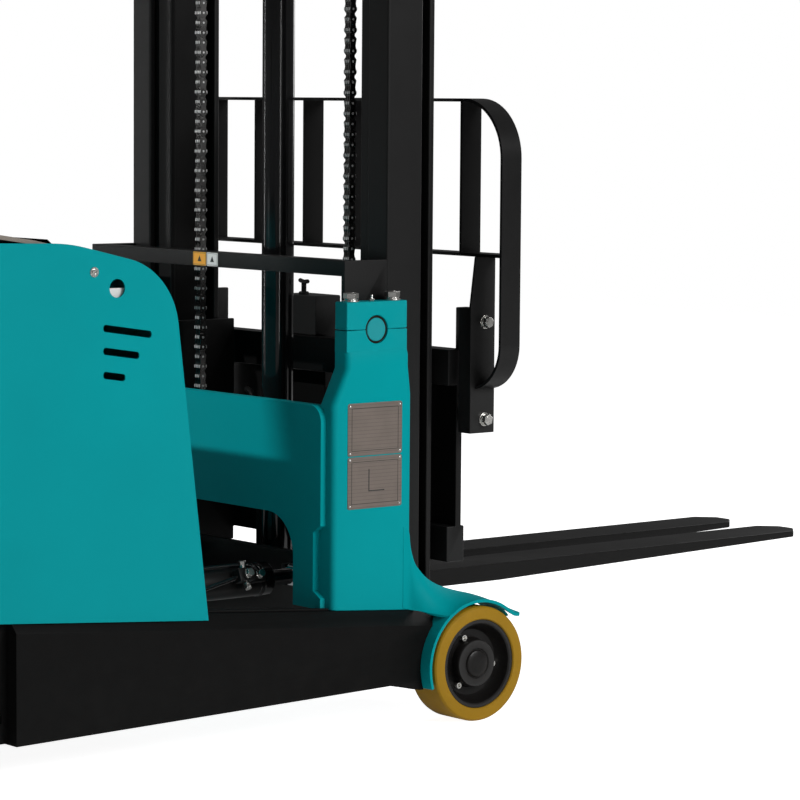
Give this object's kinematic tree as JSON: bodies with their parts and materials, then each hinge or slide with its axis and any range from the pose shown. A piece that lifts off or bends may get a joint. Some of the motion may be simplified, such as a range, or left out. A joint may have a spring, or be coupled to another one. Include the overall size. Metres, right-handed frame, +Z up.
{
  "type": "counterbalance stacker",
  "caption": "Electric walkie stacker with a tilting two-stage mast on side towers, fork carriage with load backrest, straddle legs, steered drive wheel and tiller.",
  "frame": {"origin": "centre of the truck's bounding box, at the ground", "axes": "+X along the forks, +Y to the truck's left, +Z up"},
  "size_m": [2.868, 1.01, 2.168],
  "materials": {
    "teal_paint": "satin powder coat",
    "black_paint": "satin powder coat",
    "mast_paint": "satin paint",
    "polyurethane": "cast polyurethane",
    "wheel_iron": "painted casting",
    "steel": "machined",
    "chrome": "polished",
    "bronze": "machined",
    "ballast": "cast",
    "black_plastic": "moulded",
    "chain_steel": "oiled",
    "hard_rubber": "moulded"
  },
  "bodies": {
    "chassis": {"left_leg": "black_paint", "right_leg": "black_paint", "front_axles": "steel", "chassis_frame": "black_paint", "belly_pan": "black_paint", "left_tower": "teal_paint", "right_tower": "teal_paint", "left_bearing_cap": "teal_paint", "right_bearing_cap": "teal_paint", "trunnion_bushes": "bronze", "portal_plate": "teal_paint", "left_wheel_guard": "teal_paint", "right_wheel_guard": "teal_paint", "left_side_panel": "teal_paint", "right_side_panel": "teal_paint", "front_cowl": "teal_paint", "bay_wall": "teal_paint", "battery": "black_plastic", "rear_cover": "black_plastic", "counterweight": "ballast"},
    "left_wheel": {"left_front_tyre": "polyurethane", "left_front_rim": "wheel_iron"},
    "right_wheel": {"right_front_tyre": "polyurethane", "right_front_rim": "wheel_iron"},
    "drive_unit": {"drive_motor": "wheel_iron", "drive_gearbox": "wheel_iron", "tiller_post": "black_plastic"},
    "drive_roller": {"drive_wheel": "hard_rubber"},
    "tiller": {"tiller_arm": "black_plastic", "tiller_head": "black_plastic"},
    "left_castor": {"left_castor_fork": "wheel_iron"},
    "right_castor": {"right_castor_fork": "wheel_iron"},
    "left_castor_roller": {"left_castor_wheel": "hard_rubber"},
    "right_castor_roller": {"right_castor_wheel": "hard_rubber"},
    "lid": {"battery_lid": "black_paint"},
    "mast": {"outer_rails": "mast_paint", "mast_cross_members": "mast_paint", "trunnion_frame": "mast_paint", "lift_cylinder": "black_paint", "chain_anchor_strands": "chain_steel"},
    "inner_stage": {"inner_rails": "mast_paint", "inner_crosshead": "mast_paint", "inner_mast_rollers": "steel", "lift_rod": "chrome", "chain_sheaves": "steel"},
    "fork_carriage": {"carriage": "mast_paint", "carriage_rollers": "steel", "load_backrest": "mast_paint", "left_backrest_bracket": "mast_paint", "right_backrest_bracket": "mast_paint", "chain_load_strands": "chain_steel"},
    "left_fork_body": {"left_fork": "mast_paint"},
    "right_fork_body": {"right_fork": "mast_paint"},
    "left_tilt_cylinder": {"left_tilt_barrel": "black_paint"},
    "right_tilt_cylinder": {"right_tilt_barrel": "black_paint"},
    "left_tilt_ram": {"left_tilt_rod": "chrome"},
    "right_tilt_ram": {"right_tilt_rod": "chrome"}
  },
  "joints": [
    {"name": "left_wheel_spin", "type": "hinge", "parent": "chassis", "child": "left_wheel", "pos_m": [0.2295, 0.455, 0.105], "axis": [0, 1, 0], "continuous": true},
    {"name": "right_wheel_spin", "type": "hinge", "parent": "chassis", "child": "right_wheel", "pos_m": [0.2295, -0.455, 0.105], "axis": [0, 1, 0], "continuous": true},
    {"name": "drive_steer", "type": "hinge", "parent": "chassis", "child": "drive_unit", "pos_m": [-1.204, 0, 0.305], "axis": [0, 0, 1], "range_deg": [-90, 90]},
    {"name": "drive_wheel_spin", "type": "hinge", "parent": "drive_unit", "child": "drive_roller", "pos_m": [-1.204, 0, 0.125], "axis": [0, 1, 0], "continuous": true},
    {"name": "tiller_tilt", "type": "hinge", "parent": "drive_unit", "child": "tiller", "pos_m": [-1.204, 0, 0.7], "axis": [0, 1, 0], "range_deg": [-75, 0], "stiffness_Nm_per_rad": 30, "springref_deg": 14.32},
    {"name": "left_castor_swivel", "type": "hinge", "parent": "chassis", "child": "left_castor", "pos_m": [-1.204, 0.31, 0.29], "axis": [0, 0, 1], "continuous": true},
    {"name": "right_castor_swivel", "type": "hinge", "parent": "chassis", "child": "right_castor", "pos_m": [-1.204, -0.31, 0.29], "axis": [0, 0, 1], "continuous": true},
    {"name": "left_castor_spin", "type": "hinge", "parent": "left_castor", "child": "left_castor_roller", "pos_m": [-1.244, 0.31, 0.075], "axis": [0, 1, 0], "continuous": true},
    {"name": "right_castor_spin", "type": "hinge", "parent": "right_castor", "child": "right_castor_roller", "pos_m": [-1.244, -0.31, 0.075], "axis": [0, 1, 0], "continuous": true},
    {"name": "lid_open", "type": "hinge", "parent": "chassis", "child": "lid", "pos_m": [-1.007, 0, 0.881], "axis": [0, 1, 0], "range_deg": [-80, 0]},
    {"name": "mast_tilt", "type": "hinge", "parent": "chassis", "child": "mast", "pos_m": [0.03, 0, 0.717], "axis": [0, 1, 0], "range_deg": [-4, 2]},
    {"name": "mast_lift", "type": "slide", "parent": "mast", "child": "inner_stage", "axis": [0, 0, 1], "range_m": [-0.05, 1.35]},
    {"name": "carriage_lift", "type": "slide", "parent": "inner_stage", "child": "fork_carriage", "axis": [0, 0, 1], "range_m": [-0.05, 1.35], "deforming": ["chain_load_strands"]},
    {"name": "left_fork_shift", "type": "slide", "parent": "fork_carriage", "child": "left_fork_body", "axis": [0, 1, 0], "range_m": [-0.035, 0.21]},
    {"name": "right_fork_shift", "type": "slide", "parent": "fork_carriage", "child": "right_fork_body", "axis": [0, 1, 0], "range_m": [-0.21, 0.035]},
    {"name": "left_tilt_cylinder_swing", "type": "hinge", "parent": "chassis", "child": "left_tilt_cylinder", "pos_m": [-0.474, 0.2, 0.25], "axis": [0, 1, 0], "range_deg": [-0.13, 0.07]},
    {"name": "right_tilt_cylinder_swing", "type": "hinge", "parent": "chassis", "child": "right_tilt_cylinder", "pos_m": [-0.474, -0.2, 0.25], "axis": [0, 1, 0], "range_deg": [-0.13, 0.07]},
    {"name": "left_tilt_ram_slide", "type": "slide", "parent": "left_tilt_cylinder", "child": "left_tilt_ram", "axis": [1, 0, 0], "range_m": [-0.0165, 0.0328]},
    {"name": "right_tilt_ram_slide", "type": "slide", "parent": "right_tilt_cylinder", "child": "right_tilt_ram", "axis": [1, 0, 0], "range_m": [-0.0165, 0.0328]}
  ],
  "couplings": [
    {"joint": "carriage_lift", "follows": "mast_lift", "ratio": 1},
    {"joint": "left_tilt_cylinder_swing", "follows": "mast_tilt", "ratio": 0.03},
    {"joint": "right_tilt_cylinder_swing", "follows": "mast_tilt", "ratio": 0.03},
    {"joint": "left_tilt_ram_slide", "follows": "mast_tilt", "m_per_rad": -0.467},
    {"joint": "right_tilt_ram_slide", "follows": "mast_tilt", "m_per_rad": -0.467}
  ]
}
